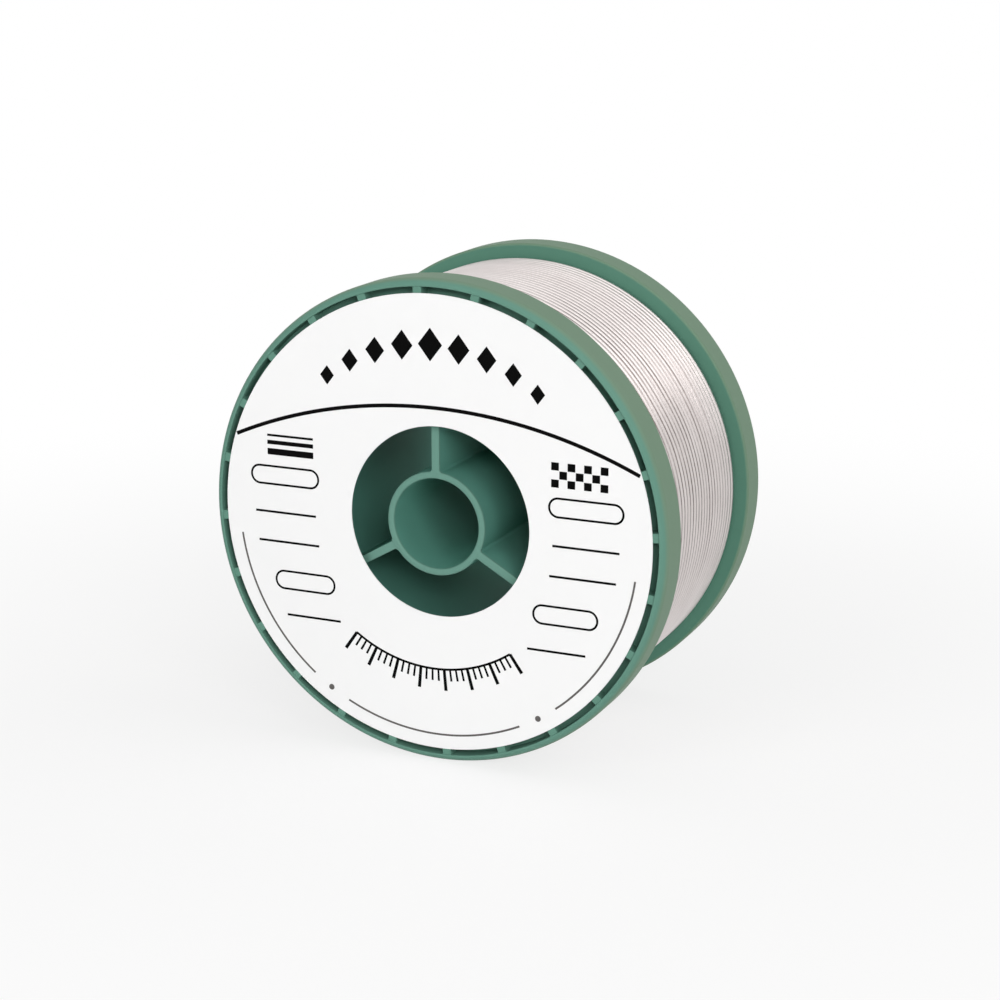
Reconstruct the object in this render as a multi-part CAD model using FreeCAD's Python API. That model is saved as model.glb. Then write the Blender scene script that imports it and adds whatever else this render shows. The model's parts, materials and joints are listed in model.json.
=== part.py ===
import FreeCAD, Part

import math
import os

# Solder wire spool. The spool's axis is +Y, its labelled end faces -Y, and it stands on its two rims.
# The origin is the middle of the spindle bore. Sizes are in millimetres.

# Flanges: two like mouldings, each a thin rim, a web against the winding, and ribs on the web.
flange_diameter = 64.0
flange_depth = 5.5
rim_wall = 1.03
rim_land = 0.2
rim_round_depth = 1.35
rim_inner_round = 0.35
web_thickness = 3.4
rib_count = 24
rib_thickness = 1.2
rib_turn = 3.5
rib_recess = 0.2
collar_wall = 0.6

# Core: the barrel under the wire, the hub tube with the spindle bore, and the spokes between them.
winding_width = 26.8
barrel_diameter = 36.6
barrel_wall = 1.4
bore_diameter = 12.0
hub_wall = 0.9
core_recess = 1.3
bore_lead_in = 0.25
spoke_thickness = 1.1
spoke_names = ("spoke_top", "spoke_left", "spoke_right")
first_spoke_angle = 90.0

# Label: a round of paper glued on the front flange's ribs. Its window is cut a little off the axis.
label_rim_gap = 0.82
label_window_diameter = 25.15
label_window_right = 1.07
label_window_up = 0.66
label_thickness = 0.15

# Wire: the top layer is wound turn by turn, and the layers under it fill the rest of the barrel.
wire_diameter = 1.0
wire_pitch = 1.1
wire_below_rim = 1.85
layer_clearance = 0.05

# Wire ends: each goes through a hole in the rear web and is bent over in a pocket between two ribs.
anchor_clearance = 0.25
anchor_wall = 0.3
tail_bend_radius = 1.0
tail_length = 5.0
tail_lift = 0.1
start_pocket = 2
finish_pocket = 15

# Places that follow from the sizes above.
overall_width = winding_width + 2 * flange_depth
front_face = -overall_width / 2
rear_face = overall_width / 2
half_winding = winding_width / 2
flange_radius = flange_diameter / 2
rim_inner_radius = flange_radius - rim_wall
barrel_radius = barrel_diameter / 2
barrel_inner_radius = barrel_radius - barrel_wall
collar_radius = barrel_radius + collar_wall
bore_radius = bore_diameter / 2
hub_radius = bore_radius + hub_wall
barrel_length = overall_width - 2 * rib_recess
core_length = overall_width - 2 * core_recess
web_outer_depth = flange_depth - web_thickness
label_radius = rim_inner_radius - label_rim_gap
wound_radius = flange_radius - wire_below_rim
wire_radius = wire_diameter / 2
layer_radius = wound_radius - wire_radius
turns = math.floor((winding_width - wire_diameter) / wire_pitch)
wound_span = turns * wire_pitch
pocket_angle = 360.0 / rib_count
anchor_radius = wire_radius + anchor_clearance

ORIGIN = FreeCAD.Vector(0, 0, 0)
SPOOL_AXIS = FreeCAD.Vector(0, 1, 0)
# A positive turn about this axis goes from +X to +Z, counter-clockwise as seen from the front.
FRONT_VIEW_AXIS = FreeCAD.Vector(0, -1, 0)


def ring_point(radius, angle, y):
    """The point at a radius and an angle from +X towards +Z, at a place along the spool's axis."""
    turn = math.radians(angle)
    return FreeCAD.Vector(radius * math.cos(turn), y, radius * math.sin(turn))


def disc(radius, low_y, high_y):
    return Part.makeCylinder(radius, high_y - low_y, FreeCAD.Vector(0, low_y, 0), SPOOL_AXIS)


def tube(inner_radius, outer_radius, low_y, high_y):
    return disc(outer_radius, low_y, high_y).cut(disc(inner_radius, low_y, high_y))


def radial_plate(inner_radius, outer_radius, thickness, low_y, high_y, angle):
    """A flat plate that runs outwards at an angle, centred on that direction."""
    corner = FreeCAD.Vector(inner_radius, low_y, -thickness / 2)
    plate = Part.makeBox(outer_radius - inner_radius, high_y - low_y, thickness, corner)
    plate.rotate(ORIGIN, FRONT_VIEW_AXIS, angle)
    return plate


def revolve_about_axis(edges):
    """The solid of revolution of a closed outline drawn in the plane of +X and the spool's axis."""
    return Part.Face(Part.Wire(edges)).revolve(ORIGIN, SPOOL_AXIS, 360)


def rim_outer_edge():
    """The rim's broad round, from its land back to the full diameter, as an arc tangent to the outside."""
    drop = rim_wall - rim_land
    radius = (rim_round_depth ** 2 + drop ** 2) / (2 * drop)
    half_angle = math.asin(rim_round_depth / radius) / 2
    start = FreeCAD.Vector(flange_radius - drop, 0, 0)
    middle = FreeCAD.Vector(
        flange_radius - radius + radius * math.cos(half_angle),
        rim_round_depth - radius * math.sin(half_angle),
        0,
    )
    end = FreeCAD.Vector(flange_radius, rim_round_depth, 0)
    return Part.Arc(start, middle, end).toShape()


def rim_inner_edge():
    """The small round where the rim meets the winding side."""
    offset = rim_inner_round * (1 - math.sqrt(0.5))
    start = FreeCAD.Vector(flange_radius, flange_depth - rim_inner_round, 0)
    middle = FreeCAD.Vector(flange_radius - offset, flange_depth - offset, 0)
    end = FreeCAD.Vector(flange_radius - rim_inner_round, flange_depth, 0)
    return Part.Arc(start, middle, end).toShape()


def flange_ring():
    """Rim, web and collar in one turned section: the rim's edge is at depth 0, the winding side deepest."""
    outer_round = rim_outer_edge()
    inner_round = rim_inner_edge()
    outline = [
        inner_round.Vertexes[-1].Point,
        FreeCAD.Vector(barrel_radius, flange_depth, 0),
        FreeCAD.Vector(barrel_radius, rib_recess, 0),
        FreeCAD.Vector(collar_radius, rib_recess, 0),
        FreeCAD.Vector(collar_radius, web_outer_depth, 0),
        FreeCAD.Vector(rim_inner_radius, web_outer_depth, 0),
        FreeCAD.Vector(rim_inner_radius, 0, 0),
        outer_round.Vertexes[0].Point,
    ]
    sides = [Part.LineSegment(a, b).toShape() for a, b in zip(outline, outline[1:])]
    side = Part.LineSegment(outer_round.Vertexes[-1].Point, inner_round.Vertexes[0].Point).toShape()
    return revolve_about_axis(sides + [outer_round, side, inner_round])


def flange():
    """One flange moulding in its own frame, ribs included."""
    ribs = []
    for number in range(rib_count):
        angle = rib_turn + number * pocket_angle
        reach = rim_inner_radius + rim_wall / 2
        depth = web_outer_depth + web_thickness / 2
        foot = barrel_radius + collar_wall / 2
        ribs.append(radial_plate(foot, reach, rib_thickness, rib_recess, depth, angle))
    return flange_ring().fuse(ribs).removeSplitter()


def at_front(shape):
    placed = shape.copy()
    placed.translate(FreeCAD.Vector(0, front_face, 0))
    return placed


def at_rear(shape):
    """The same moulding turned round, so that its rim's edge is the spool's rear face."""
    placed = shape.copy()
    placed.translate(FreeCAD.Vector(0, front_face, 0))
    placed.rotate(ORIGIN, FreeCAD.Vector(0, 0, 1), 180)
    return placed


def pocket_middle(number):
    """The direction of the middle of one rear pocket, counted from the first rear rib."""
    return 180 - rib_turn - (number + 0.5) * pocket_angle


def hub_tube():
    """The hub tube, with a small lead-in at each end of the bore."""
    half = core_length / 2
    body = tube(bore_radius, hub_radius, -half, half)
    for end in (-1, 1):
        tip = FreeCAD.Vector(0, end * half, 0)
        inward = FreeCAD.Vector(0, -end, 0)
        cone = Part.makeCone(bore_radius + bore_lead_in, bore_radius, bore_lead_in, tip, inward)
        body = body.cut(cone)
    return body


def spoke(angle):
    """One full-length web from the hub tube to the barrel, curved at both ends to lie against them."""
    half = core_length / 2
    between = tube(hub_radius, barrel_inner_radius, -half, half)
    plate = radial_plate(bore_radius, barrel_radius, spoke_thickness, -half, half, angle)
    return plate.common(between)


def label():
    back = front_face + rib_recess
    face = back - label_thickness
    window = disc(label_window_diameter / 2, face, back)
    window.translate(FreeCAD.Vector(label_window_right, 0, label_window_up))
    return disc(label_radius, face, back).cut(window)


def wire_along(path_edges):
    """A round wire swept along a path of edges, from the start of the first one."""
    path = Part.Wire(path_edges)
    first = path.OrderedEdges[0]
    start = first.valueAt(first.FirstParameter)
    heading = first.tangentAt(first.FirstParameter)
    section = Part.Wire([Part.Circle(start, heading, wire_radius).toShape()])
    return path.makePipeShell([section], True, True)


def wire_outer_layer():
    """The top layer: one length of wire wound from the front web to the rear web."""
    coil = Part.makeHelix(wire_pitch, wound_span, layer_radius)
    wound = wire_along(coil.Edges)
    wound.rotate(ORIGIN, FreeCAD.Vector(1, 0, 0), -90)
    wound.translate(FreeCAD.Vector(0, -wound_span / 2, 0))
    wound.rotate(ORIGIN, SPOOL_AXIS, coil_end_turn())
    return wound


def coil_end_turn():
    """The turn about the spool's axis that brings the coil's end to where the wire leaves it."""
    bend_angle = math.degrees(tail_bend_radius / layer_radius)
    return -(pocket_middle(finish_pocket) + bend_angle)


def wire_inner_layers():
    """All the layers under the top one, as the closed ring that they fill."""
    outer_radius = layer_radius - wire_radius - layer_clearance
    return tube(barrel_radius, outer_radius, -half_winding, half_winding)


def bend(start, along, towards):
    """A quarter turn of wire from one direction into another, and the point where it ends."""
    diagonal = math.sqrt(0.5)
    middle = start + along * (tail_bend_radius * diagonal) + towards * (tail_bend_radius * (1 - diagonal))
    end = start + along * tail_bend_radius + towards * tail_bend_radius
    return Part.Arc(start, middle, end).toShape(), end


def tail_in_pocket(start, inwards):
    """The edges of a wire end that leaves a web and is bent over, towards or away from the axis."""
    web_face = rear_face - web_outer_depth
    turn_y = web_face + tail_lift + wire_radius - tail_bend_radius
    turn_point = FreeCAD.Vector(start.x, turn_y, start.z)
    radial = FreeCAD.Vector(start.x, 0, start.z).normalize()
    direction = radial * (-1 if inwards else 1)
    corner, corner_end = bend(turn_point, SPOOL_AXIS, direction)
    tip = corner_end + direction * tail_length
    return [Part.LineSegment(start, turn_point).toShape(), corner, Part.LineSegment(corner_end, tip).toShape()]


def start_hole_point():
    radius = collar_radius + anchor_wall + anchor_radius
    return ring_point(radius, pocket_middle(start_pocket), half_winding)


def finish_hole_point():
    return ring_point(layer_radius, pocket_middle(finish_pocket), half_winding)


def anchor_hole(point):
    return Part.makeCylinder(anchor_radius, web_thickness, point, SPOOL_AXIS)


def wire_start_end():
    """The first end of the wire, from under the winding out through the rear web."""
    return wire_along(tail_in_pocket(start_hole_point(), inwards=False))


def wire_finish_end():
    """The last end of the wire: it leaves the top layer, turns into its hole and is bent over."""
    hole = finish_hole_point()
    angle = pocket_middle(finish_pocket)
    onwards = ring_point(1, angle - 90, 0)
    leaves = hole - onwards * tail_bend_radius
    leaves.y = wound_span / 2
    into_hole, hole_end = bend(leaves, onwards, SPOOL_AXIS)
    return wire_along([into_hole] + tail_in_pocket(hole_end, inwards=True))


def rear_flange():
    body = at_rear(flange())
    for point in (start_hole_point(), finish_hole_point()):
        body = body.cut(anchor_hole(point))
    return body


def build_nodes():
    nodes = {
        "front_flange": at_front(flange()),
        "rear_flange": rear_flange(),
        "barrel": tube(barrel_inner_radius, barrel_radius, -barrel_length / 2, barrel_length / 2),
        "hub_tube": hub_tube(),
        "front_label": label(),
        "wire_inner_layers": wire_inner_layers(),
        "wire_outer_layer": wire_outer_layer(),
        "wire_start_end": wire_start_end(),
        "wire_finish_end": wire_finish_end(),
    }
    for number, name in enumerate(spoke_names):
        nodes[name] = spoke(first_spoke_angle + number * 360.0 / len(spoke_names))
    return nodes


os.makedirs("parts", exist_ok=True)
for node, shape in build_nodes().items():
    shape.exportStep("parts/" + node + ".step")
    print(node, shape.ShapeType, "valid" if shape.isValid() else "INVALID", round(shape.Volume, 3))
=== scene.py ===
import json
import math
import random

import bmesh
import bpy
from mathutils import Matrix, Vector

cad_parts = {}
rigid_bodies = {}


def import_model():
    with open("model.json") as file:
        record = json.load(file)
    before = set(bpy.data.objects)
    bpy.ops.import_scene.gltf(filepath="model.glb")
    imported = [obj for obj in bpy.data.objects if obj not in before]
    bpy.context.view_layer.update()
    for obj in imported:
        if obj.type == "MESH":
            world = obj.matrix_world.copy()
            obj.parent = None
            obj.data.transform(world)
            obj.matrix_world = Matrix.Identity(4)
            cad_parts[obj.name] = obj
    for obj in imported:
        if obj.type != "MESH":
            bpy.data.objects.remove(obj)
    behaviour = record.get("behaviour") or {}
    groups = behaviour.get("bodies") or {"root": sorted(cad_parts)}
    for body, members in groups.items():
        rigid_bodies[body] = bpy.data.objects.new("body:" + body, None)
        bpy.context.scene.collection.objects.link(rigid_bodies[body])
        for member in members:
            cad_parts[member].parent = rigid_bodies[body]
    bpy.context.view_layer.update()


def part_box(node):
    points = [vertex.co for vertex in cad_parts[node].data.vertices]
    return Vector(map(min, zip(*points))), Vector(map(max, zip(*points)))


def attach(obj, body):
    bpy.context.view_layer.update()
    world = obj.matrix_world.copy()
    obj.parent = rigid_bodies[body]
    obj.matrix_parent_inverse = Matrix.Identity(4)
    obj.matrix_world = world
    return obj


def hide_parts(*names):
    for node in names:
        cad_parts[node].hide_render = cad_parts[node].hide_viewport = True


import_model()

# Sizes are in metres. The spool's axis is +Y, its labelled end faces -Y, and +Z is up.
MM = 0.001

# Places that model.glb gives.
FLANGE_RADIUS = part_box("front_flange")[1][0]
RIM_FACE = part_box("front_flange")[0][1]
WINDING_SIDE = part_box("front_flange")[1][1]
BARREL_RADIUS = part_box("barrel")[1][0]
RIB_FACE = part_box("front_label")[1][1]
CORE_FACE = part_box("hub_tube")[0][1]
HUB_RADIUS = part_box("hub_tube")[1][0]
SPOKE_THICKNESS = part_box("spoke_top")[1][0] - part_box("spoke_top")[0][0]
BARREL_INNER_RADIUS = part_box("spoke_top")[1][2]
LABEL_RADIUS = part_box("front_label")[1][0]
LABEL_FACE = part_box("front_label")[0][1]
WOUND_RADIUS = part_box("wire_outer_layer")[1][0]
LOWER_WIRE_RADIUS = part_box("wire_inner_layers")[1][0]

# Flange: a thin rim, a web against the winding, and ribs on the web.
RIM_WALL = 1.03 * MM
RIM_LAND = 0.2 * MM
RIM_ROUND_DEPTH = 1.35 * MM
RIM_INNER_ROUND = 0.35 * MM
WEB_THICKNESS = 3.4 * MM
COLLAR_WALL = 0.6 * MM
RIB_COUNT = 24
RIB_THICKNESS = 1.2 * MM
RIB_TURN = math.radians(3.5)
POCKET_COLUMNS = 8    # of faces, with half a rib in the first and in the last
MOULDED_EDGE = 0.1 * MM
RIM_INNER_RADIUS = FLANGE_RADIUS - RIM_WALL
COLLAR_RADIUS = BARREL_RADIUS + COLLAR_WALL
WEB_FACE = WINDING_SIDE - WEB_THICKNESS
POCKET_ANGLE = 2 * math.pi / RIB_COUNT

# Core.
BORE_RADIUS = 6.0 * MM
BORE_LIP = 0.22 * MM
CORE_EDGE = 0.12 * MM
SPOKE_FILLET = 0.3 * MM
SPOKE_ROOT = 0.3 * MM    # how far a spoke's ends reach into the hub tube and the barrel

# Label.
WINDOW_RADIUS = 12.575 * MM
WINDOW_RIGHT = 1.07 * MM
WINDOW_UP = 0.66 * MM
PAPER_EDGE = 0.03 * MM

# Print on the label. Places are counted to the right of the spool's axis and above it, and angles, in
# degrees, from +X towards +Z.
INK_THICKNESS = 0.02 * MM
ARC_STEP = 0.6 * MM
RULE_RADIUS = 69.7 * MM
RULE_TOP = 15.6 * MM
RULE_WIDTH = 0.5 * MM
RULE_REACH = 24.0
DIAMOND_ROW_RADIUS = 23.7 * MM
DIAMOND_STEP = 9.6
DIAMONDS_EACH_SIDE = 4
DIAMOND_HALF_HEIGHT = 2.15 * MM
DIAMOND_SHRINK = 0.22 * MM    # from each diamond to the next one outwards
DIAMOND_SHAPE = 0.78    # its width over its height
FIELD_HEIGHT = 2.7 * MM
FIELD_LINE = 0.28 * MM
WRITING_LINE = 0.3 * MM
BARS_X = -20.4 * MM
BARS_WIDTH = 6.8 * MM
CHEQUER_X = 17.1 * MM
CHEQUER_Z = 7.5 * MM
CHEQUER_ROWS = 3
CHEQUER_COLUMNS = 7
CHEQUER_CELL = 1.1 * MM
CHEQUER_SQUARE = 1.02 * MM
SCALE_RADIUS = 19.2 * MM
SCALE_LINE = 0.3 * MM
SCALE_START = 235
SCALE_SWEEP = 70
SCALE_SPACES = 28
SCALE_TICK = (1.6 * MM, 0.8)    # its length, and its width in degrees
SCALE_LONG_TICK = (2.9 * MM, 1.2)
BORDER_RADIUS = 28.2 * MM
BORDER_LINE = 0.26 * MM
BORDER_DOT = 0.4 * MM
BORDER_ARCS = ((188, 232), (244, 296), (308, 352))
BORDER_DOTS = (238, 302)

# Wire.
WIRE_RADIUS = 0.5 * MM
WIRE_PITCH = 1.1 * MM
WIRE_TURNS = 23
COIL_POINTS = 72    # in a turn
LOWER_STEPS = 120    # round the ring of the lower layers
ANCHOR_RADIUS = 0.75 * MM
ANCHOR_WALL = 0.3 * MM
TAIL_LENGTH = 5.0 * MM
TAIL_BEND = 1.0 * MM
TAIL_LIFT = 0.1 * MM
TAIL_STATIONS = (1.2 * MM, 3.2 * MM)    # points on the way from the hole to the tip
TAIL_SPRING = 0.12 * MM    # how far the finish end's tip stands off
START_INSIDE = 0.6 * MM    # how far the start end is drawn before its hole and into it
START_IN_HOLE = 0.7 * MM
START_POCKET = 2
FINISH_POCKET = 15
LAYER_RADIUS = WOUND_RADIUS - WIRE_RADIUS

# How the winding is out of true: its turns wander, dip, and jog over the layer below, and the first
# one rises from that layer.
TURN_WAVES = 4
WANDER = 0.035 * MM
DIP = 0.012 * MM
JOG = 0.42 * MM
JOG_START = 30    # degrees, and over how many the turn is pushed aside
JOG_START_SWEEP = 9
JOG_END = 7    # degrees, and over how many it comes back
JOG_END_SWEEP = 8
JOG_FULL_TURNS = 8    # counted from the front
JOG_FADING_TURNS = 9
FIRST_RISE = 0.95 * MM
FIRST_RISE_TURNS = 0.07

# Colours, in linear red, green and blue.
DEEP_GREEN = (0.113, 0.252, 0.194)
PALE_GREEN = (0.125, 0.266, 0.207)
# Painted warm reflection: the olive that browns the outsides of the rims.
PAINTED_WARM_REFLECTION_OLIVE = (0.196, 0.258, 0.168)
# Painted shade: deeper greens for the flanges' sides towards the winding, and for the core inside its end
# faces.
FLANGE_PAINTED_SHADE_GREEN = (0.092, 0.226, 0.164)
CORE_PAINTED_SHADE_GREEN = (0.112, 0.305, 0.245)
FLANGE_TINT = (1.0, 1.0, 1.0)
# Painted light: the core, the same plastic as the flanges, is made lighter and bluer.
CORE_PAINTED_LIGHT_TINT = (1.17, 1.10, 1.15)
PAPER_SHADE = (0.866, 0.866, 0.866)
PAPER_WHITE = (0.884, 0.883, 0.881)
BLACK_INK = (0.003, 0.003, 0.003)
THIN_BLACK_INK = (0.010, 0.010, 0.010)
GREY_INK = (0.12, 0.112, 0.108)
THIN_GREY_INK = (0.17, 0.16, 0.155)
DULL_TIN = (0.610, 0.560, 0.549)
BRIGHT_TIN = (0.655, 0.607, 0.596)
# Painted shade in the grooves between the wound turns.
GROOVE_SHADE_BROWN = (0.060, 0.043, 0.038)
FLOOR_GREY = (0.88, 0.88, 0.88)
WHITE = (1.0, 1.0, 1.0)

# Plastic: how much it shines, and how far from the spool's middle its painted shade reaches: deeper green
# on the flanges' sides towards the winding and inside the core.
FLANGE_SHEEN = 0.10
CORE_SHEEN = 0.04
FLANGE_PAINTED_SHADE_REACH = 0.1 * MM - WINDING_SIDE
CORE_PAINTED_SHADE_REACH = -CORE_FACE - 0.55 * MM

# Stage: the floor is shaded between two radii, and the camera's aim is counted from the spool's middle.
FLOOR_SIZE = 8.0
FLOOR_SHADE_FROM = 0.03
FLOOR_SHADE_TO = 0.20
AIR_LIGHT = 0.2
CAMERA_AZIMUTH = math.radians(24.009)
CAMERA_ELEVATION = math.radians(15.006)
CAMERA_DISTANCE = 288 * MM
CAMERA_LENS = 81.08
AIM_FORWARD = 19.5 * MM
AIM_RIGHT = 9.054 * MM
AIM_UP = 3.551 * MM

ROUND_STEPS = 192
TOWARDS_Z = (0, 1, 0)    # the axis about which the spin operator turns from +X towards +Z
FACING_FRONT = (math.pi / 2, 0, 0)    # the turn that makes what faces +Z face -Y
MERGE = 0.002 * MM
SAME_PLACE = 0.01 * MM
SAME_ANGLE = 0.001
SMOOTH_ANGLE = math.radians(38)
WIRE_SMOOTH_ANGLE = math.radians(60)


# ---------------------------------------------------------------- modelling helpers

def ring_point(radius, angle, y):
    """The place at a radius and an angle from +X towards +Z, along the spool's axis at y."""
    return Vector((radius * math.cos(angle), y, radius * math.sin(angle)))


def place_of(point):
    """The radius and the angle from +X towards +Z of a point about the spool's axis."""
    return math.hypot(point.x, point.z), math.atan2(point.z, point.x)


def new_point(place):
    """Adds one point: a plane merged at its centre and moved to its place."""
    bpy.ops.mesh.primitive_plane_add(size=MM, location=(0, 0, 0))
    if bpy.context.object.mode == "OBJECT":
        bpy.ops.object.mode_set(mode="EDIT")
        bpy.ops.mesh.select_mode(type="VERT")
        bpy.ops.mesh.select_all(action="SELECT")
    bpy.ops.mesh.merge(type="CENTER")
    bpy.ops.transform.translate(value=place)


def begin(name, place):
    """Starts a new piece as one point, in edit mode."""
    bpy.ops.object.select_all(action="DESELECT")
    new_point(place)
    piece = bpy.context.object
    piece.name = name
    piece.data.name = name
    return piece


def draw_to(places, start):
    """Draws on from the selected point, through places."""
    for place in places:
        bpy.ops.mesh.extrude_vertices_move(TRANSFORM_OT_translate={"value": place - start})
        start = place


def select(piece, kind, test):
    """Selects the points, edges or faces of a piece in edit mode that pass a test."""
    bpy.ops.mesh.select_mode(type=kind)
    bpy.ops.mesh.select_all(action="DESELECT")
    shape = bmesh.from_edit_mesh(piece.data)
    items = {"VERT": shape.verts, "EDGE": shape.edges, "FACE": shape.faces}[kind]
    for item in items:
        if test(item):
            item.select_set(True)
    shape.select_flush_mode()
    bmesh.update_edit_mesh(piece.data)


def close_up():
    """Merges doubled points and turns all faces outwards, in edit mode."""
    bpy.ops.mesh.select_mode(type="VERT")
    bpy.ops.mesh.select_all(action="SELECT")
    bpy.ops.mesh.remove_doubles(threshold=MERGE)
    bpy.ops.mesh.normals_make_consistent(inside=False)


def make_active(piece):
    bpy.ops.object.select_all(action="DESELECT")
    piece.select_set(True)
    bpy.context.view_layer.objects.active = piece


def apply_modifier(piece, kind, **settings):
    """Adds a modifier with its settings and applies it at once."""
    make_active(piece)
    modifier = piece.modifiers.new(kind.title(), kind)
    for key, value in settings.items():
        setattr(modifier, key, value)
    bpy.ops.object.modifier_apply(modifier=modifier.name)


def soften(piece, width, angle=35):
    """Rounds the sharp edges as a mould leaves them, then shades the piece smooth."""
    if width:
        apply_modifier(piece, "BEVEL", width=width, segments=3, limit_method="ANGLE",
                       angle_limit=math.radians(angle), harden_normals=False)
    make_active(piece)
    bpy.ops.object.shade_smooth_by_angle(angle=SMOOTH_ANGLE)
    apply_modifier(piece, "WEIGHTED_NORMAL", keep_sharp=True)


def finish_edit():
    bpy.ops.object.mode_set(mode="OBJECT")


def copied(piece, name):
    """A copy of a piece, with its own mesh."""
    copy = piece.copy()
    copy.data = piece.data.copy()
    copy.name = name
    copy.data.name = name
    bpy.context.collection.objects.link(copy)
    make_active(copy)
    return copy


def turn_about(piece, axis, angle):
    """Turns a piece's mesh about an axis through the origin."""
    make_active(piece)
    bpy.ops.object.mode_set(mode="EDIT")
    bpy.ops.mesh.select_all(action="SELECT")
    bpy.ops.transform.rotate(value=-angle, orient_axis=axis, orient_type="GLOBAL",
                             center_override=(0, 0, 0))
    finish_edit()


def turned(name, outline, steps=ROUND_STEPS, edge=0.0):
    """A closed outline of (radius, y) points spun round the spool's axis."""
    places = [Vector((radius, y, 0)) for radius, y in outline]
    piece = begin(name, places[0])
    draw_to(places[1:] + places[:1], places[0])
    bpy.ops.mesh.select_all(action="SELECT")
    bpy.ops.mesh.remove_doubles(threshold=MERGE)
    bpy.ops.mesh.spin(steps=steps, angle=2 * math.pi, center=(0, 0, 0), axis=TOWARDS_Z)
    close_up()
    finish_edit()
    soften(piece, edge)
    return piece


# ---------------------------------------------------------------- flanges

def rim_outline():
    """The rim's section from the top of its inner wall, over its round edge, to the barrel."""
    round_steps = 8
    inner_round_steps = 4
    drop = RIM_WALL - RIM_LAND
    arc = (RIM_ROUND_DEPTH ** 2 + drop ** 2) / (2 * drop)
    steepest = math.asin(RIM_ROUND_DEPTH / arc)
    points = [(RIM_INNER_RADIUS, RIM_FACE)]
    for step in range(round_steps + 1):
        angle = steepest * (1 - step / round_steps)
        points.append((FLANGE_RADIUS - arc * (1 - math.cos(angle)),
                       RIM_FACE + RIM_ROUND_DEPTH - arc * math.sin(angle)))
    for step in range(inner_round_steps + 1):
        angle = math.pi / 2 * step / inner_round_steps
        points.append((FLANGE_RADIUS - RIM_INNER_ROUND * (1 - math.cos(angle)),
                       WINDING_SIDE - RIM_INNER_ROUND * (1 - math.sin(angle))))
    points.append((BARREL_RADIUS, WINDING_SIDE))
    points.append((BARREL_RADIUS, RIB_FACE))
    return points


def extrude_row(start, end):
    """Extrudes the selected edges along the rim's section, from one (radius, y) to the next."""
    bpy.ops.mesh.extrude_edges_move(TRANSFORM_OT_translate={"value": (0, end[1] - start[1], 0)})
    ratio = end[0] / start[0]
    bpy.ops.transform.resize(value=(ratio, 1, ratio), center_override=(0, 0, 0))


def near(a, b):
    return abs(a - b) < SAME_PLACE


def move_rib_edge(piece, radius, now, wanted):
    """Turns the points of one rib edge, at a radius, from one angle to another."""
    def on_rib_edge(point):
        place, angle = place_of(point.co)
        at_angle = near(place, radius) and abs(angle - now) < SAME_ANGLE
        return at_angle and (near(point.co.y, RIB_FACE) or near(point.co.y, WEB_FACE))
    select(piece, "VERT", on_rib_edge)
    bpy.ops.transform.translate(value=ring_point(radius, wanted, 0) - ring_point(radius, now, 0))


def set_rib_edges(piece):
    """Moves the ribs' edges in, so that each rib is as thick at the rim as at the barrel."""
    column = POCKET_ANGLE / POCKET_COLUMNS
    for radius in (COLLAR_RADIUS, RIM_INNER_RADIUS):
        rib_angle = math.asin(RIB_THICKNESS / 2 / radius)
        move_rib_edge(piece, radius, RIB_TURN + column, RIB_TURN + rib_angle)
        far_rib = RIB_TURN + POCKET_ANGLE
        move_rib_edge(piece, radius, far_rib - column, far_rib - rib_angle)


def front_flange():
    """One pocket with half a rib on each side, spun round into the whole flange."""
    radii = (BARREL_RADIUS, COLLAR_RADIUS, RIM_INNER_RADIUS)
    places = [ring_point(radius, RIB_TURN, RIB_FACE) for radius in radii]
    piece = begin("flange_front", places[0])
    draw_to(places[1:], places[0])
    bpy.ops.mesh.select_all(action="SELECT")
    bpy.ops.mesh.spin(steps=POCKET_COLUMNS, angle=POCKET_ANGLE, center=(0, 0, 0), axis=TOWARDS_Z)

    def in_pocket(face):
        radius, angle = place_of(face.calc_center_median())
        column = (angle - RIB_TURN) / POCKET_ANGLE * POCKET_COLUMNS
        return radius > COLLAR_RADIUS and 1 < column < POCKET_COLUMNS - 1
    select(piece, "FACE", in_pocket)
    bpy.ops.mesh.extrude_region_move(TRANSFORM_OT_translate={"value": (0, WEB_FACE - RIB_FACE, 0)})

    def along_rim(edge):
        return all(near(place_of(v.co)[0], RIM_INNER_RADIUS) and near(v.co.y, RIB_FACE) for v in edge.verts)
    select(piece, "EDGE", along_rim)
    rows = [(RIM_INNER_RADIUS, RIB_FACE)] + rim_outline()
    for start, end in zip(rows, rows[1:]):
        extrude_row(start, end)
    close_up()
    set_rib_edges(piece)
    bpy.ops.mesh.select_all(action="SELECT")
    bpy.ops.mesh.spin(steps=RIB_COUNT - 1, angle=POCKET_ANGLE * (RIB_COUNT - 1), dupli=True,
                      center=(0, 0, 0), axis=TOWARDS_Z)
    close_up()
    finish_edit()
    return piece


def pocket_middle(number):
    """The direction of the middle of one rear pocket, counted from the first rear rib."""
    return math.pi - RIB_TURN - (number + 0.5) * POCKET_ANGLE


def anchor_points():
    """Where the wire's two ends go through the rear web."""
    inner = COLLAR_RADIUS + ANCHOR_WALL + ANCHOR_RADIUS
    web = -WINDING_SIDE
    start = ring_point(inner, pocket_middle(START_POCKET), web)
    finish = ring_point(LAYER_RADIUS, pocket_middle(FINISH_POCKET), web)
    return start, finish


def pierce(piece, point):
    """Cuts one of the wire's holes through a web."""
    bpy.ops.object.select_all(action="DESELECT")
    bpy.ops.mesh.primitive_cylinder_add(vertices=32, radius=ANCHOR_RADIUS, depth=4 * WEB_THICKNESS,
                                        location=point, rotation=FACING_FRONT)
    drill = bpy.context.object
    apply_modifier(piece, "BOOLEAN", operation="DIFFERENCE", solver="EXACT", object=drill)
    bpy.data.objects.remove(drill)


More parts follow.
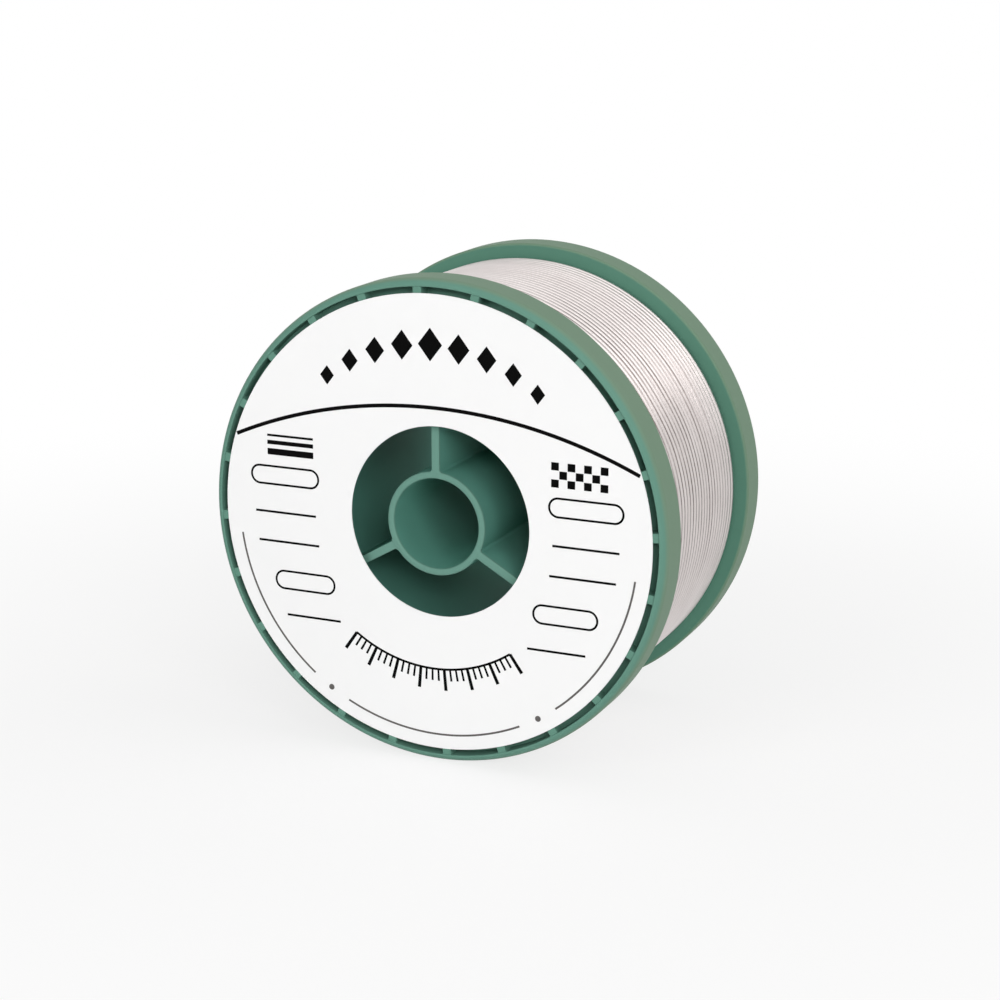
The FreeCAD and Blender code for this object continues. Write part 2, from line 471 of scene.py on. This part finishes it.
def flanges():
    """The two flanges: the rear one is the front one turned round, with the wire's holes cut in it."""
    front = front_flange()
    rear = copied(front, "flange_rear")
    turn_about(rear, "Z", math.pi)
    for point in anchor_points():
        pierce(rear, point)
    for piece in (front, rear):
        soften(piece, MOULDED_EDGE)
    return front, rear


# ---------------------------------------------------------------- core

def core_tube(name, inner, outer, face, lip):
    """A tube from a face at the front to the same at the rear, with its mouths rounded."""
    outline = [(inner, face), (outer, face), (outer, -face), (inner, -face)]
    return turned(name, outline, edge=lip)


def spoke_rows():
    """The half thickness of a spoke along its length: it flares into the hub and the barrel."""
    steps = 4
    half = SPOKE_THICKNESS / 2
    fillet = []
    for step in range(steps + 1):
        angle = math.pi / 2 * step / steps
        fillet.append((SPOKE_FILLET * (1 - math.sin(angle)), half + SPOKE_FILLET * (1 - math.cos(angle))))
    widest = fillet[-1][1]
    inner = [(HUB_RADIUS - SPOKE_ROOT, widest)]
    inner += [(HUB_RADIUS + along, width) for along, width in fillet[::-1]]
    outer = [(BARREL_INNER_RADIUS - along, width) for along, width in fillet]
    outer.append((BARREL_INNER_RADIUS + SPOKE_ROOT, widest))
    return inner, outer


def top_spoke():
    """A plate between the hub and the barrel: its two ends are extruded and widened row by row."""
    inner, outer = spoke_rows()
    low, high = inner[-1][0], outer[0][0]
    bpy.ops.object.select_all(action="DESELECT")
    bpy.ops.mesh.primitive_cube_add(size=1, location=(0, 0, (low + high) / 2),
                                    scale=(SPOKE_THICKNESS, -2 * CORE_FACE, high - low))
    piece = bpy.context.object
    piece.name = "spoke_plate_top"
    piece.data.name = piece.name
    bpy.ops.object.transform_apply(location=True, rotation=True, scale=True)
    bpy.ops.object.mode_set(mode="EDIT")
    for rows, end in ((inner[::-1], low), (outer, high)):
        select(piece, "FACE", lambda face: near(face.calc_center_median().z, end))
        for (start, start_width), (next_place, next_width) in zip(rows, rows[1:]):
            move = (0, 0, next_place - start)
            bpy.ops.mesh.extrude_region_move(TRANSFORM_OT_translate={"value": move})
            bpy.ops.transform.resize(value=(next_width / start_width, 1, 1), center_override=(0, 0, 0))
    close_up()
    finish_edit()
    soften(piece, CORE_EDGE, angle=60)
    return piece


def spokes():
    """Three like plates, a third of a turn apart."""
    top = top_spoke()
    left = copied(top, "spoke_plate_left")
    turn_about(left, "Y", -2 * math.pi / 3)
    right = copied(top, "spoke_plate_right")
    turn_about(right, "Y", 2 * math.pi / 3)
    return top, left, right


# ---------------------------------------------------------------- label

def paper_label():
    """A round of paper: its edge and its window's edge are bridged, then given the paper's thickness."""
    bpy.ops.object.select_all(action="DESELECT")
    bpy.ops.mesh.primitive_circle_add(vertices=ROUND_STEPS, radius=LABEL_RADIUS, location=(0, RIB_FACE, 0),
                                      rotation=FACING_FRONT)
    piece = bpy.context.object
    piece.name = "label_round"
    piece.data.name = piece.name
    bpy.ops.object.transform_apply(location=True, rotation=True, scale=True)
    bpy.ops.object.mode_set(mode="EDIT")
    bpy.ops.mesh.primitive_circle_add(vertices=ROUND_STEPS, radius=WINDOW_RADIUS, rotation=FACING_FRONT,
                                      location=(WINDOW_RIGHT, RIB_FACE, WINDOW_UP))
    bpy.ops.mesh.select_all(action="SELECT")
    bpy.ops.mesh.bridge_edge_loops()
    bpy.ops.mesh.select_all(action="SELECT")
    bpy.ops.mesh.extrude_region_move(TRANSFORM_OT_translate={"value": (0, LABEL_FACE - RIB_FACE, 0)})
    close_up()
    finish_edit()
    soften(piece, PAPER_EDGE)
    return piece


def print_arc(radius, width, first, last, centre=(0.0, 0.0)):
    """A printed arc band, from one angle to another, about a centre on the label."""
    middle = Vector((centre[0], LABEL_FACE, centre[1]))
    start = middle + ring_point(radius - width / 2, math.radians(first), 0)
    end = middle + ring_point(radius + width / 2, math.radians(first), 0)
    new_point(start)
    draw_to([end], start)
    bpy.ops.mesh.select_linked()
    sweep = math.radians(last - first)
    steps = max(1, round(sweep * radius / ARC_STEP))
    bpy.ops.mesh.spin(steps=steps, angle=sweep, center=middle, axis=TOWARDS_Z)


def print_bar(x, z, width, height):
    """A printed rectangle about its middle."""
    bpy.ops.mesh.primitive_plane_add(size=1, location=(x, LABEL_FACE, z), rotation=FACING_FRONT)
    bpy.ops.transform.resize(value=(width, 1, height), center_override=(x, LABEL_FACE, z))


def print_diamond(x, z, half_width, half_height):
    """A printed diamond about its middle."""
    bpy.ops.mesh.primitive_circle_add(vertices=4, radius=MM, fill_type="NGON",
                                      location=(x, LABEL_FACE, z), rotation=FACING_FRONT)
    bpy.ops.transform.resize(value=(half_width / MM, 1, half_height / MM),
                             center_override=(x, LABEL_FACE, z))


def print_dot(x, z, radius):
    """A printed dot about its middle."""
    bpy.ops.mesh.primitive_circle_add(vertices=20, radius=radius, fill_type="NGON",
                                      location=(x, LABEL_FACE, z), rotation=FACING_FRONT)


def print_field(x, z, width, height, line):
    """A blank field: a long rectangle with round ends, drawn as an outline."""
    end_radius = 0.495 * height
    print_bar(x, z, width, height)
    bpy.ops.mesh.bevel(offset=end_radius, segments=10, affect="VERTICES")
    bpy.ops.mesh.select_mode(type="FACE")
    bpy.ops.mesh.inset(thickness=line)
    bpy.ops.mesh.delete(type="FACE")
    bpy.ops.mesh.select_mode(type="VERT")


def finish_print(piece):
    """Turns the flat print to the front and gives it the thickness of ink."""
    bpy.ops.mesh.select_all(action="SELECT")
    bpy.ops.mesh.remove_doubles(threshold=MERGE)
    shape = bmesh.from_edit_mesh(piece.data)
    backwards = [face for face in shape.faces if face.normal.y > 0]
    bmesh.ops.reverse_faces(shape, faces=backwards)
    bmesh.update_edit_mesh(piece.data)
    finish_edit()
    apply_modifier(piece, "SOLIDIFY", thickness=INK_THICKNESS, offset=1.0)
    return piece


def print_head():
    """An arched rule from edge to edge over the window, and diamonds above it, largest in the middle."""
    centre = (0, RULE_TOP - RULE_RADIUS)
    print_arc(RULE_RADIUS, RULE_WIDTH, 90 - RULE_REACH, 90 + RULE_REACH, centre=centre)
    for number in range(-DIAMONDS_EACH_SIDE, DIAMONDS_EACH_SIDE + 1):
        place = ring_point(DIAMOND_ROW_RADIUS, math.radians(90 - DIAMOND_STEP * number), 0)
        half_height = DIAMOND_HALF_HEIGHT - DIAMOND_SHRINK * abs(number)
        print_diamond(place.x, place.z, DIAMOND_SHAPE * half_height, half_height)


def print_sides():
    """Blank fields with lines to write on, the same on both sides of the window."""
    for side in (-1, 1):
        for x, z, width in ((21.3, 4.4, 10.2), (18.6, -9.8, 9.0)):
            print_field(side * x * MM, z * MM, width * MM, FIELD_HEIGHT, FIELD_LINE)
        for x, z, width in ((21.3, -0.6, 9.0), (20.9, -4.6, 9.0), (17.4, -14.6, 8.0)):
            print_bar(side * x * MM, z * MM, width * MM, WRITING_LINE)


def print_swatches():
    """Bars from thin to thick on the left, and a small chequer on the right."""
    for height, z in ((0.3, 9.8), (0.55, 8.85), (0.85, 7.6)):
        print_bar(BARS_X, z * MM, BARS_WIDTH, height * MM)
    for row in range(CHEQUER_ROWS):
        for column in range(CHEQUER_COLUMNS):
            if (row + column) % 2 == 0:
                x = CHEQUER_X + column * CHEQUER_CELL
                z = CHEQUER_Z + row * CHEQUER_CELL
                print_bar(x, z, CHEQUER_SQUARE, CHEQUER_SQUARE)


def print_scale():
    """A plain scale on an arc under the window, with every fourth tick a long one."""
    print_arc(SCALE_RADIUS, SCALE_LINE, SCALE_START, SCALE_START + SCALE_SWEEP)
    for tick in range(SCALE_SPACES + 1):
        angle = SCALE_START + tick * SCALE_SWEEP / SCALE_SPACES
        length, width = SCALE_LONG_TICK if tick % 4 == 0 else SCALE_TICK
        print_arc(SCALE_RADIUS + length / 2, length, angle - width / 2, angle + width / 2)


def black_print():
    """All that is printed in black, as one thin piece."""
    piece = begin("label_print_black", Vector((0, LABEL_FACE, 0)))
    bpy.ops.mesh.delete(type="VERT")
    print_head()
    print_sides()
    print_swatches()
    print_scale()
    return finish_print(piece)


def grey_print():
    """Fine grey arcs and dots along the label's edge."""
    piece = begin("label_print_grey", Vector((0, LABEL_FACE, 0)))
    bpy.ops.mesh.delete(type="VERT")
    for first, last in BORDER_ARCS:
        print_arc(BORDER_RADIUS, BORDER_LINE, first, last)
    for angle in BORDER_DOTS:
        place = ring_point(BORDER_RADIUS, math.radians(angle), 0)
        print_dot(place.x, place.z, BORDER_DOT)
    return finish_print(piece)


# ---------------------------------------------------------------- wire

def smooth_step(value):
    value = min(1.0, max(0.0, value))
    return value * value * (3 - 2 * value)


def lower_layers():
    """The layers under the top one: a ring with the ridges of the last of them."""
    ridges = WIRE_TURNS + 1
    ridge_steps = 5
    ridge_share = 0.96    # how much of a wire's width shows between its neighbours
    reach = -WINDING_SIDE
    outline = [(BARREL_RADIUS, -reach)]
    for ridge in range(ridges):
        middle = -reach + (ridge + 0.5) * 2 * reach / ridges
        for step in range(ridge_steps + 1):
            across = (step / ridge_steps - 0.5) * 2 * ridge_share
            outline.append((LOWER_WIRE_RADIUS - WIRE_RADIUS * (1 - math.sqrt(1 - across ** 2)),
                            middle + across * reach / ridges))
    outline.append((BARREL_RADIUS, reach))
    return turned("solder_lower_layers", outline, steps=LOWER_STEPS)


def wire_curve(name, places):
    """A round wire along places, as a curve made into a mesh."""
    line = bpy.data.curves.new(name, "CURVE")
    line.dimensions = "3D"
    line.bevel_depth = WIRE_RADIUS
    line.bevel_resolution = 4
    line.resolution_u = 2
    line.use_fill_caps = True
    spline = line.splines.new("NURBS")
    spline.points.add(len(places) - 1)
    for point, place in zip(spline.points, places):
        point.co = (*place, 1)
    spline.order_u = 3
    spline.use_endpoint_u = True
    piece = bpy.data.objects.new(name, line)
    bpy.context.collection.objects.link(piece)
    make_active(piece)
    bpy.ops.object.convert(target="MESH")
    piece = bpy.context.object
    piece.data.name = name
    bpy.ops.object.mode_set(mode="EDIT")
    close_up()
    finish_edit()
    bpy.ops.object.shade_smooth_by_angle(angle=WIRE_SMOOTH_ANGLE)
    return piece


def jog(turn, degrees):
    """How far a turn is pushed along the axis at an angle, where it crosses the turns below it."""
    fullness = 1 - smooth_step((turn - JOG_FULL_TURNS) / JOG_FADING_TURNS)
    aside = smooth_step((JOG_START - degrees) / JOG_START_SWEEP)
    back = smooth_step((JOG_END - degrees) / JOG_END_SWEEP)
    return JOG * fullness * (aside - back)


def tail_places(hole, inwards):
    """A wire end in its pocket, from over its hole towards or away from the spool's axis."""
    heading = Vector((hole.x, 0, hole.z)).normalized() * (-1 if inwards else 1)
    over_hole = Vector((hole.x, -WEB_FACE + TAIL_LIFT + WIRE_RADIUS, hole.z))
    return [over_hole + heading * along for along in (0, *TAIL_STATIONS, TAIL_LENGTH + TAIL_BEND)]


def wave_at(waves, turns, angle):
    """How a turn wanders at an angle: by its own waves, blended into those of the next turn."""
    turn, part = int(turns), turns - int(turns)
    wave = 0.0
    for weight, index in ((1 - part, turn), (part, min(turn + 1, WIRE_TURNS))):
        for harmonic, (phase, size) in enumerate(waves[index], start=1):
            wave += weight * size * math.sin(harmonic * angle + phase) / harmonic
    return wave


def wound_places():
    """The top layer's line: turns side by side, each a little out of true, then the end in its pocket."""
    chance = random.Random(11)
    waves = [[(chance.uniform(0, 2 * math.pi), chance.uniform(0.3, 1.0)) for _ in range(TURN_WAVES)]
             for _ in range(WIRE_TURNS + 1)]
    end_angle = pocket_middle(FINISH_POCKET) + TAIL_BEND / LAYER_RADIUS
    span = WIRE_TURNS * WIRE_PITCH
    centre_line = LAYER_RADIUS / math.cos(math.pi / COIL_POINTS)
    places = []
    for number in range(WIRE_TURNS * COIL_POINTS + 1):
        turns = number / COIL_POINTS
        angle = end_angle - turns * 2 * math.pi
        degrees = math.degrees(math.atan2(math.sin(angle), math.cos(angle)))
        wave = wave_at(waves, turns, angle)
        from_ends = min(turns, WIRE_TURNS - turns)
        held = smooth_step(from_ends)
        y = -span / 2 + turns * WIRE_PITCH + held * (WANDER * wave + jog(turns, degrees))
        sunk = FIRST_RISE * (1 - smooth_step(turns / FIRST_RISE_TURNS))
        places.append(ring_point(centre_line - sunk - DIP * abs(wave), angle, y))
    hole = anchor_points()[1]
    places.append(Vector((hole.x, span / 2, hole.z)))
    places += tail_places(hole, inwards=True)
    places[-1].y += TAIL_SPRING
    return places


def start_places():
    """The wire's first end, from under the winding out through its hole and bent outwards."""
    hole = anchor_points()[0]
    under_winding = hole - Vector((0, START_INSIDE, 0))
    in_hole = hole + Vector((0, START_IN_HOLE, 0))
    return [under_winding, in_hole] + tail_places(hole, inwards=False)


# ---------------------------------------------------------------- finishes

class Value:
    """An output of a node, so that shader maths is written as plain expressions."""

    def __init__(self, nodes, socket):
        self.nodes = nodes
        self.socket = socket

    def __add__(self, other):
        return self.nodes.maths("ADD", self, other)

    def __rsub__(self, other):
        return self.nodes.maths("SUBTRACT", other, self)

    def __mul__(self, other):
        return self.nodes.maths("MULTIPLY", self, other)

    __radd__ = __add__
    __rmul__ = __mul__


class NodeTree:
    """Builds a node tree: node() makes any node, and the other methods make the ones used most."""

    def __init__(self, tree):
        self.tree = tree
        self.tree.nodes.clear()

    def node(self, kind, settings=None, inputs=None, output=0):
        """Adds a node with its settings and its inputs, and gives one of its outputs."""
        made = self.tree.nodes.new(kind)
        for key, value in (settings or {}).items():
            setattr(made, key, value)
        for key, value in (inputs or {}).items():
            socket = made.inputs[key]
            if isinstance(value, Value):
                self.tree.links.new(value.socket, socket)
            elif isinstance(value, tuple) and len(value) == 3 and socket.type == "RGBA":
                socket.default_value = (*value, 1)
            else:
                socket.default_value = value
        return Value(self, made.outputs[output])

    def maths(self, operation, first, second=0.0):
        return self.node("ShaderNodeMath", {"operation": operation}, {0: first, 1: second})

    def camera_ray(self):
        return self.node("ShaderNodeLightPath", output="Is Camera Ray")

    def mirrored_ray(self):
        return self.maths("MAXIMUM", self.node("ShaderNodeLightPath", output="Is Glossy Ray"),
                          self.node("ShaderNodeLightPath", output="Is Transmission Ray"))

    def end(self, kind, shader):
        """Ends the tree with its output node."""
        output = self.tree.nodes.new(kind)
        self.tree.links.new(shader.socket, output.inputs["Surface"])


class Finish(NodeTree):
    """A material made of nodes."""

    def __init__(self, name):
        self.material = bpy.data.materials.new(name)
        self.material.use_nodes = True
        super().__init__(self.material.node_tree)

    def position(self):
        return self.node("ShaderNodeTexCoord", output="Object")

    def axis_place(self, axis):
        """One coordinate of the place on the piece, in metres."""
        return self.node("ShaderNodeSeparateXYZ", {}, {"Vector": self.position()}, output=axis)

    def distance(self, first_axis, second_axis):
        """The distance from the origin along two axes."""
        first, second = self.axis_place(first_axis), self.axis_place(second_axis)
        return self.maths("SQRT", first * first + second * second)

    def radius(self):
        """The distance from the spool's axis."""
        return self.distance("X", "Z")

    def reach(self):
        """The distance from the spool's middle plane."""
        return self.maths("ABSOLUTE", self.axis_place("Y"))

    def noise(self, size, detail=2.0, roughness=0.5, stretch=(1.0, 1.0, 1.0)):
        """Noise from 0 to 1, with blotches of a size in metres, longer along an axis by its stretch."""
        place = self.position()
        if stretch != (1.0, 1.0, 1.0):
            scale = tuple(1 / share for share in stretch)
            place = self.node("ShaderNodeMapping", {}, {"Vector": place, "Scale": scale})
        return self.node("ShaderNodeTexNoise", {}, {"Vector": place, "Scale": 1 / size,
                                                    "Detail": detail, "Roughness": roughness})

    def between(self, value, low, high):
        """A value's way from low to high, as a soft step from 0 to 1."""
        return self.node("ShaderNodeMapRange", {"interpolation_type": "SMOOTHSTEP"},
                         {"Value": value, "From Min": low, "From Max": high})

    def blend(self, factor, first, second):
        """A colour between two colours."""
        return self.node("ShaderNodeMix", {"data_type": "RGBA"}, {0: factor, 6: first, 7: second}, output=2)

    def surface(self, colour, roughness, height=None, **fixed):
        """Ends the tree with a shader whose other inputs are named in the call, and gives the material."""
        inputs = {"Base Color": colour, "Roughness": roughness}
        if height is not None:
            inputs["Normal"] = self.node("ShaderNodeBump", {}, {"Height": height, "Distance": 1.0,
                                                                "Strength": 1.0})
        inputs.update({key.replace("_", " "): value for key, value in fixed.items()})
        shader = self.node("ShaderNodeBsdfPrincipled", {}, inputs)
        self.end("ShaderNodeOutputMaterial", shader)
        return self.material


def tinted(colour, tint):
    """A colour with its red, green and blue each scaled."""
    return tuple(share * part for share, part in zip(colour, tint))


def spool_plastic(name, sheen, tint, shade_colour, shade_reach):
    """Satin moulded green plastic, with a painted warm reflection browning the outside of the rims, and
    painted shade making it deeper green further in.
    """
    finish = Finish(name)
    cloud = finish.noise(9 * MM, detail=3)
    fine = finish.noise(0.35 * MM, detail=2)
    body = finish.blend(cloud, tinted(DEEP_GREEN, tint), tinted(PALE_GREEN, tint))
    # Painted shade: deeper green within a reach of the spool's middle.
    painted_shade_mask = 1.0 - finish.between(finish.reach(), shade_reach, shade_reach + 0.5 * MM)
    body = finish.blend(painted_shade_mask, body, shade_colour)
    # Painted warm reflection: the outsides of the rims are browned towards olive.
    outside = finish.between(finish.radius(), FLANGE_RADIUS - 0.45 * MM, FLANGE_RADIUS - 0.02 * MM)
    colour = finish.blend(outside * 0.60, body, PAINTED_WARM_REFLECTION_OLIVE)
    roughness = 0.46 + 0.10 * cloud + 0.05 * fine
    height = fine * (0.004 * MM) + cloud * (0.03 * MM)
    return finish.surface(colour, roughness, height, Specular_IOR_Level=sheen)


def coated_paper():
    """Smooth coated white paper."""
    finish = Finish("label_paper")
    fibre = finish.noise(0.25 * MM, detail=4)
    cloud = finish.noise(14 * MM, detail=2)
    colour = finish.blend(cloud, PAPER_SHADE, PAPER_WHITE)
    roughness = 0.55 + 0.1 * fibre
    height = fibre * (0.003 * MM) + cloud * (0.02 * MM)
    return finish.surface(colour, roughness, height, Specular_IOR_Level=0.3)


def print_ink(name, colour, thin_colour):
    """Printing ink that thins out a little over the paper's grain."""
    finish = Finish(name)
    grain = finish.noise(0.12 * MM, detail=3)
    colour = finish.blend(finish.between(grain, 0.55, 0.8), colour, thin_colour)
    return finish.surface(colour, 0.65 + 0.15 * grain, Specular_IOR_Level=0.02)


def solder():
    """Satin tin alloy, with painted shade in the grooves between the turns, and the fine marks of drawing
    and winding.
    """
    finish = Finish("solder")
    cloud = finish.noise(5 * MM, detail=3)
    fine = finish.noise(0.3 * MM, detail=3, roughness=0.6)
    along_turns = finish.noise(WIRE_PITCH, detail=1, stretch=(14, 1, 14))
    tone = cloud * 0.5 + along_turns * 0.5
    bright = finish.blend(finish.between(tone, 0.35, 0.65), DULL_TIN, BRIGHT_TIN)
    # Painted shade: the wound turns are dark below their crests, in the grooves between them, less so
    # towards the rear, and unevenly along each turn.
    crest = finish.between(finish.radius(), LAYER_RADIUS + 0.27 * MM, LAYER_RADIUS + 0.41 * MM)
    wound = 1.0 - finish.between(finish.reach(), -WINDING_SIDE, 0.4 * MM - WINDING_SIDE)
    rearward = finish.between(finish.axis_place("Y"), 3 * MM, 13.5 * MM)
    unevenly = 0.72 + 0.28 * finish.between(along_turns, 0.38, 0.60)
    painted_groove_shade = wound * (1.0 - crest) * ((1.0 - 0.42 * rearward) * unevenly)
    colour = finish.blend(painted_groove_shade, bright, GROOVE_SHADE_BROWN)
    roughness = 0.28 + 0.12 * cloud + 0.08 * fine
    height = fine * (0.006 * MM)
    return finish.surface(colour, roughness, height, Metallic=0.9, Coat_Weight=0.5 - 0.45 * painted_groove_shade,
                          Coat_Roughness=0.3)


def floor_white():
    """A plain white floor that the camera sees pale, with the object's soft shadow kept."""
    finish = Finish("floor_white")
    diffuse = finish.node("ShaderNodeBsdfDiffuse", {}, {"Color": FLOOR_GREY})
    glow = finish.node("ShaderNodeEmission", {}, {"Color": WHITE, "Strength": 1.0})
    away = finish.between(finish.distance("X", "Y"), FLOOR_SHADE_FROM, FLOOR_SHADE_TO)
    seen = finish.camera_ray() * (0.76 + 0.24 * away) + finish.mirrored_ray() * (0.9 + 0.1 * away)
    mixed = finish.node("ShaderNodeMixShader", {}, {0: seen, 1: diffuse, 2: glow})
    finish.end("ShaderNodeOutputMaterial", mixed)
    return finish.material


# ---------------------------------------------------------------- stage

def floor():
    bpy.ops.object.select_all(action="DESELECT")
    bpy.ops.mesh.primitive_plane_add(size=FLOOR_SIZE, location=(0, 0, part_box("front_flange")[0][2]))
    piece = bpy.context.object
    piece.name = "floor"
    bpy.ops.object.transform_apply(location=True, rotation=True, scale=True)
    bpy.ops.object.mode_set(mode="EDIT")
    bpy.ops.mesh.subdivide(number_cuts=3)
    finish_edit()
    piece.data.materials.append(floor_white())


def aim(thing, place, target):
    """Puts a lamp or the camera at a place, looking at a target with +Z up."""
    back = (Vector(place) - Vector(target)).normalized()
    right = Vector((0, 0, 1)).cross(back).normalized()
    up = back.cross(right)
    turn = Matrix((right, up, back)).transposed().to_4x4()
    thing.matrix_world = Matrix.Translation(place) @ turn


def softbox(name, place, size, power, colour):
    """A round lamp of a size in metres and a power in watts, aimed at the spool."""
    data = bpy.data.lights.new(name, "AREA")
    data.shape = "DISK"
    data.size = size
    data.energy = power
    data.color = colour
    lamp = bpy.data.objects.new(name, data)
    bpy.context.collection.objects.link(lamp)
    aim(lamp, place, (0, 0, 0))


def lights():
    softbox("front_left_softbox", (-0.36, -0.92, 0.44), 0.6, 3.2, WHITE)
    softbox("front_softbox", (0.48, -0.98, 0.44), 0.2, 1.85, WHITE)
    softbox("front_right_softbox", (0.76, -0.79, 0.46), 0.6, 5.1, WHITE)
    softbox("overhead_softbox", (0.05, -0.10, 1.10), 1.0, 2.4, (1.0, 0.99, 0.98))
    softbox("upper_right_softbox", (0.70, 0.12, 0.84), 0.7, 1.8, (0.98, 0.99, 1.0))
    softbox("rear_softbox", (0.62, 0.77, 0.60), 0.5, 0.8, (1.0, 0.88, 0.80))


def studio_air():
    """White to the camera and in reflections, and a plain grey as light."""
    world = bpy.data.worlds.new("studio_air")
    bpy.context.scene.world = world
    world.use_nodes = True
    air = NodeTree(world.node_tree)
    seen = air.maths("MAXIMUM", air.camera_ray(), air.mirrored_ray())
    grey = air.node("ShaderNodeBackground", {}, {"Color": WHITE, "Strength": AIR_LIGHT})
    white = air.node("ShaderNodeBackground", {}, {"Color": WHITE, "Strength": 1.0})
    air.end("ShaderNodeOutputWorld", air.node("ShaderNodeMixShader", {}, {0: seen, 1: grey, 2: white}))


def camera():
    """The camera looks at the labelled end from the right and a little above."""
    right = Vector((math.cos(CAMERA_AZIMUTH), math.sin(CAMERA_AZIMUTH), 0))
    level = Vector((-math.sin(CAMERA_AZIMUTH), math.cos(CAMERA_AZIMUTH), 0))
    ahead = level * math.cos(CAMERA_ELEVATION) - Vector((0, 0, math.sin(CAMERA_ELEVATION)))
    up = right.cross(ahead)
    aim_point = Vector((0, -AIM_FORWARD, 0)) + right * AIM_RIGHT + up * AIM_UP
    data = bpy.data.cameras.new("camera")
    data.lens = CAMERA_LENS
    data.sensor_width = 36
    data.clip_start = 0.01
    seer = bpy.data.objects.new("camera", data)
    bpy.context.collection.objects.link(seer)
    aim(seer, aim_point - ahead * CAMERA_DISTANCE, aim_point)
    bpy.context.scene.camera = seer


# ---------------------------------------------------------------- assembly

def fit(piece, finish, slot, *nodes):
    """Gives a piece its finish and its place in the assembly."""
    piece.data.materials.clear()
    piece.data.materials.append(finish)
    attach(piece, "root")
    if nodes:
        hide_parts(*nodes)


def build():
    flange_plastic = spool_plastic("spool_plastic_flange", FLANGE_SHEEN, FLANGE_TINT,
                                   FLANGE_PAINTED_SHADE_GREEN, FLANGE_PAINTED_SHADE_REACH)
    core_plastic = spool_plastic("spool_plastic_core", CORE_SHEEN, CORE_PAINTED_LIGHT_TINT,
                                 CORE_PAINTED_SHADE_GREEN, CORE_PAINTED_SHADE_REACH)
    paper = coated_paper()
    wire = solder()
    front, rear = flanges()
    fit(front, flange_plastic, "spool_plastic", "front_flange")
    fit(rear, flange_plastic, "spool_plastic", "rear_flange")
    barrel = core_tube("barrel_tube", BARREL_INNER_RADIUS, BARREL_RADIUS, RIB_FACE, CORE_EDGE)
    fit(barrel, core_plastic, "spool_plastic", "barrel")
    hub = core_tube("hub_bore_tube", BORE_RADIUS, HUB_RADIUS, CORE_FACE, BORE_LIP)
    fit(hub, core_plastic, "spool_plastic", "hub_tube")
    for piece, node in zip(spokes(), ("spoke_top", "spoke_left", "spoke_right")):
        fit(piece, core_plastic, "spool_plastic", node)
    fit(paper_label(), paper, "label_paper", "front_label")
    black = print_ink("label_ink_black", BLACK_INK, THIN_BLACK_INK)
    grey = print_ink("label_ink_grey", GREY_INK, THIN_GREY_INK)
    fit(black_print(), black, "label_paper")
    fit(grey_print(), grey, "label_paper")
    fit(lower_layers(), wire, "solder", "wire_inner_layers")
    top_layer = wire_curve("solder_top_layer", wound_places())
    fit(top_layer, wire, "solder", "wire_outer_layer", "wire_finish_end")
    start_end = wire_curve("solder_start_end", start_places())
    fit(start_end, wire, "solder", "wire_start_end")


build()
floor()
lights()
studio_air()
camera()
bpy.context.scene.view_settings.view_transform = "Standard"
